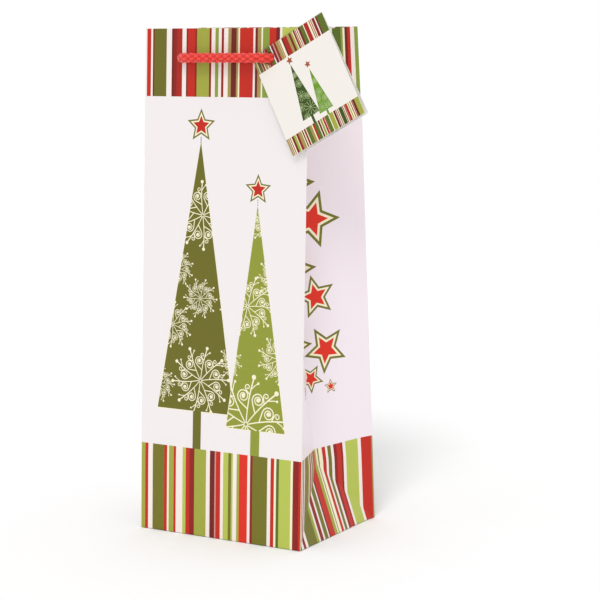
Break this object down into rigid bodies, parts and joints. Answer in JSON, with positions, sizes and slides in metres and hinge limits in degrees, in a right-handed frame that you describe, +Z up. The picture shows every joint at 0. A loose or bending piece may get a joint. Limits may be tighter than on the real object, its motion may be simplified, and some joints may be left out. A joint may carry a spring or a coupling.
{
  "type": "wine gift bag",
  "caption": "Tall folded paper carrier for one bottle, with pushed-in gussets, braided cord handles knotted inside and a folded gift tag.",
  "frame": {"origin": "middle of the base, in the plane that the bag stands on", "axes": "+Z up towards the mouth, -Y out of the front that carries the tag, +X to the right as the front is seen"},
  "size_m": [0.1782, 0.104, 0.3651],
  "materials": {
    "printed_paper": "white art paper, satin film, printed",
    "gusset_paper": "white art paper, satin film, printed",
    "hem_paper": "striped print, satin film",
    "bare_paper": "uncoated white back of the sheet",
    "base_paper": "striped print, satin film",
    "grey_board": "plain grey-white board",
    "red_cord": "braided cotton-look cord",
    "tag_card": "satin printed card"
  },
  "bodies": {
    "bag": {"front_panel": "printed_paper", "back_panel": "printed_paper", "right_gusset_front": "gusset_paper", "right_gusset_rear": "gusset_paper", "right_gusset_foot": "gusset_paper", "left_gusset_front": "gusset_paper", "left_gusset_rear": "gusset_paper", "left_gusset_foot": "gusset_paper", "front_hem": "hem_paper", "back_hem": "hem_paper", "right_hem": "hem_paper", "left_hem": "hem_paper", "front_card_strip": "grey_board", "back_card_strip": "grey_board", "side_seam_tab": "bare_paper", "front_bottom_flap": "base_paper", "back_bottom_flap": "base_paper", "right_bottom_flap": "bare_paper", "left_bottom_flap": "bare_paper", "base_board": "grey_board"},
    "front_handle": {"front_handle_cord": "red_cord", "front_handle_knots": "red_cord"},
    "back_handle": {"back_handle_cord": "red_cord", "back_handle_knots": "red_cord"},
    "tag": {"tag_back": "tag_card"},
    "cover": {"tag_cover": "tag_card"}
  },
  "joints": [
    {"name": "front_handle_pull", "type": "slide", "parent": "bag", "child": "front_handle", "axis": [0, -0.9984, 0.0562], "range_m": [0, 0.012]},
    {"name": "back_handle_pull", "type": "slide", "parent": "bag", "child": "back_handle", "axis": [0, 0.9984, 0.0562], "range_m": [0, 0.012]},
    {"name": "tag_swing", "type": "hinge", "parent": "front_handle", "child": "tag", "pos_m": [0.0354, -0.03365, 0.33453], "axis": [0, -0.9984, 0.0562], "range_deg": [-60, 20]},
    {"name": "tag_cover_open", "type": "hinge", "parent": "tag", "child": "cover", "pos_m": [0.02161, -0.03395, 0.33467], "axis": [-0.8746, -0.0273, -0.484], "range_deg": [-2, 2.3]}
  ]
}
